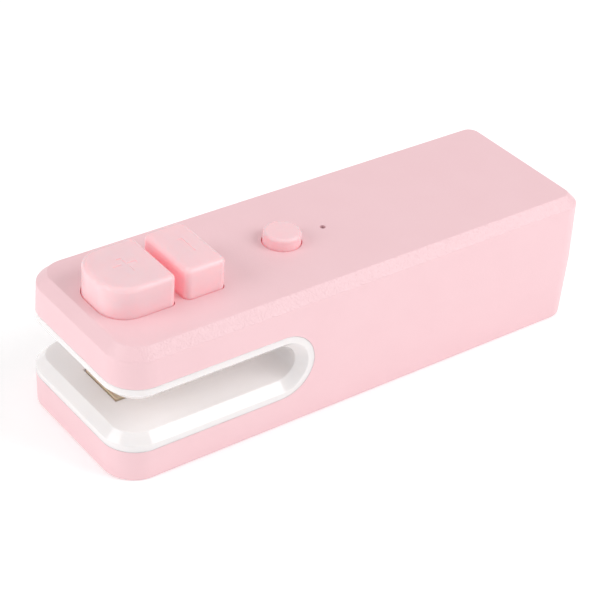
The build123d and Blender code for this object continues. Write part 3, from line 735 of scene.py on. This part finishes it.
def stud_tree():
    """A cone standing on every seed point."""
    tree, given = new_tree(
        "studs",
        [
            ("Foot Radius", "NodeSocketFloat"),
            ("Top Radius", "NodeSocketFloat"),
            ("Height", "NodeSocketFloat"),
            ("Metal", "NodeSocketMaterial"),
        ],
    )
    cone = add_node(
        tree,
        "GeometryNodeMeshCone",
        {"Vertices": 20},
        {
            "Radius Bottom": given["Foot Radius"],
            "Radius Top": given["Top Radius"],
            "Depth": given["Height"],
        },
    )
    placed = add_node(
        tree,
        "GeometryNodeInstanceOnPoints",
        links={"Points": given["Geometry"], "Instance": cone.outputs["Mesh"]},
    )
    close_tree(tree, placed.outputs["Instances"], given["Metal"])
    return tree


board_top = Vector(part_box("circuit_board")[1]).z
leg_low, leg_high = (Vector(corner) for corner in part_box("switch_legs"))
leg_inset = 0.15 * MM
leg_half = 0.35 * MM
lead_radius = 0.5 * MM
joints = [
    (x, y, board_top)
    for x in (leg_low.x + leg_inset, leg_high.x - leg_inset)
    for y in (leg_low.y + leg_half, leg_high.y - leg_half)
]
for lead in ("heater_lead_near", "heater_lead_far"):
    lead_low, lead_high = (Vector(corner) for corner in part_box(lead))
    side = -1 if lead_low.y < 0 else 1
    board_end = lead_high.y if side > 0 else lead_low.y
    joints.append((lead_high.x - lead_radius, board_end - side * lead_radius, board_top))
solder_joints = grow(
    "solder_joints",
    stud_tree(),
    joints,
    {"Foot Radius": 0.95 * MM, "Top Radius": 0.3 * MM, "Height": 0.8 * MM, "Metal": solder},
)
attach(solder_joints, "casing")

# %% [markdown]
# ## Bars: contacts, tinned legs and capacitor ends
# The socket's tongue carries a row of gold contacts, the controller stands on tinned legs, and each
# capacitor has a metal cap at both ends. All of them are small bars in rows, so one tree
# serves them.

# %% Set the bars


def bar_tree():
    """A bar of that size on every seed point."""
    tree, given = new_tree(
        "bars", [("Size", "NodeSocketVector"), ("Metal", "NodeSocketMaterial")]
    )
    bar = add_node(tree, "GeometryNodeMeshCube", links={"Size": given["Size"]})
    placed = add_node(
        tree,
        "GeometryNodeInstanceOnPoints",
        links={"Points": given["Geometry"], "Instance": bar.outputs["Mesh"]},
    )
    close_tree(tree, placed.outputs["Instances"], given["Metal"])
    return tree


bars = bar_tree()
plating = 0.04 * MM  # how far each bar stands out from the part that it covers

tongue_low, tongue_high = (Vector(corner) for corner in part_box("socket_tongue"))
contact_pitch = 0.5 * MM
contact_count = 12
contact_size = Vector((3.6, 0.28, 0.06)) * MM
contact_places = [
    ((tongue_low.x + tongue_high.x) / 2, (step - (contact_count - 1) / 2) * contact_pitch, level)
    for step in range(contact_count)
    for level in (tongue_low.z, tongue_high.z)
]
chip_low, chip_high = (Vector(corner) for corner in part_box("charge_controller"))
chip_middle = (chip_low + chip_high) / 2
leg_pitch = 1.27 * MM
legs_per_side = 4
leg_out = 2.4 * MM  # from the chip's middle line
leg_lift = 0.25 * MM  # from the chip's foot to the leg's middle
leg_size = Vector((0.4, 1.1, 0.5)) * MM
leg_places = [
    (
        chip_middle.x + (step - (legs_per_side - 1) / 2) * leg_pitch,
        chip_middle.y + side * leg_out,
        chip_low.z + leg_lift,
    )
    for step in range(legs_per_side)
    for side in (-1, 1)
]
cap_low, cap_high = (Vector(corner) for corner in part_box("board_capacitors"))
cap_pitch = 4.5 * MM
cap_length = 2.0 * MM
cap_count = 3
end_length = 0.45 * MM
cap_places = [
    (
        cap_low.x + cap_length / 2 + step * cap_pitch + end * (cap_length - end_length) / 2,
        (cap_low.y + cap_high.y) / 2,
        (cap_low.z + cap_high.z) / 2,
    )
    for step in range(cap_count)
    for end in (-1, 1)
]
cap_size = Vector((end_length, cap_high.y - cap_low.y, cap_high.z - cap_low.z))
bar_rows = (
    ("socket_contacts", contact_places, contact_size, gold_flash, "brass"),
    ("controller_legs", leg_places, leg_size, solder, "nickel"),
    ("capacitor_ends", cap_places, cap_size, solder, "nickel"),
)
for name, places, size, metal, slot_name in bar_rows:
    grow_size = size + Vector((plating, plating, plating))
    piece = grow(name, bars, places, {"Size": grow_size, "Metal": metal})
    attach(piece, "casing")

# %% [markdown]
# ## Screw threads
# The screws cut their own thread in the plastic, so each shank has a sharp coarse ridge. A thread
# is the same curve as a spring, so the spring's tree draws it with a thin wire half sunk in the
# shank and no level turns.

# %% Cut the threads
thread_rows = (
    # node, body, shank radius, pitch, head height, all in mm
    ("casing_screws", "casing", 1.0, 0.8, 1.3),
    ("jaw_screws", "casing", 1.0, 0.8, 1.3),
    ("board_screws", "casing", 0.7, 0.6, 0.9),
    ("head_screws", "seal_head", 0.7, 0.6, 0.9),
    ("holder_screws", "cut_head", 0.7, 0.6, 0.9),
)


screw_spacing = 3.0 * MM  # two screws of one node stand farther apart than this


def screw_places(node_name):
    """The middle of each of a node's screws, seen from above, and the node's box."""
    mesh = frame["nodes"][node_name].data
    low, high = (Vector(corner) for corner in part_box(node_name))
    spots = []
    for vertex in mesh.vertices:
        spot = vertex.co.xy
        if all((spot - other[0]).length > screw_spacing for other in spots):
            spots.append([spot.copy(), [], []])
        nearest = min(spots, key=lambda other: (spot - other[0]).length)
        nearest[1].append(spot.x)
        nearest[2].append(spot.y)
    middles = [((min(xs) + max(xs)) / 2, (min(ys) + max(ys)) / 2) for _, xs, ys in spots]
    return middles, low, high


ridge = 0.10 * MM
plain_below_head = 0.6 * MM
plain_at_tip = 0.7 * MM
for node_name, body, shank, pitch, head in thread_rows:
    spots, low, high = screw_places(node_name)
    bottom = low.z + head * MM + plain_below_head
    top = high.z - plain_at_tip
    threads = grow(
        node_name + "_thread",
        wound,
        [(x, y, bottom) for x, y in spots],
        {
            "Coil Radius": shank * MM,
            "Wire Radius": ridge,
            "Free Height": top - bottom,
            "Turns": (top - bottom) / (pitch * MM),
            "Level Share": 0.0,
            "Metal": finishes["screw_steel"],
        },
    )
    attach(threads, body)
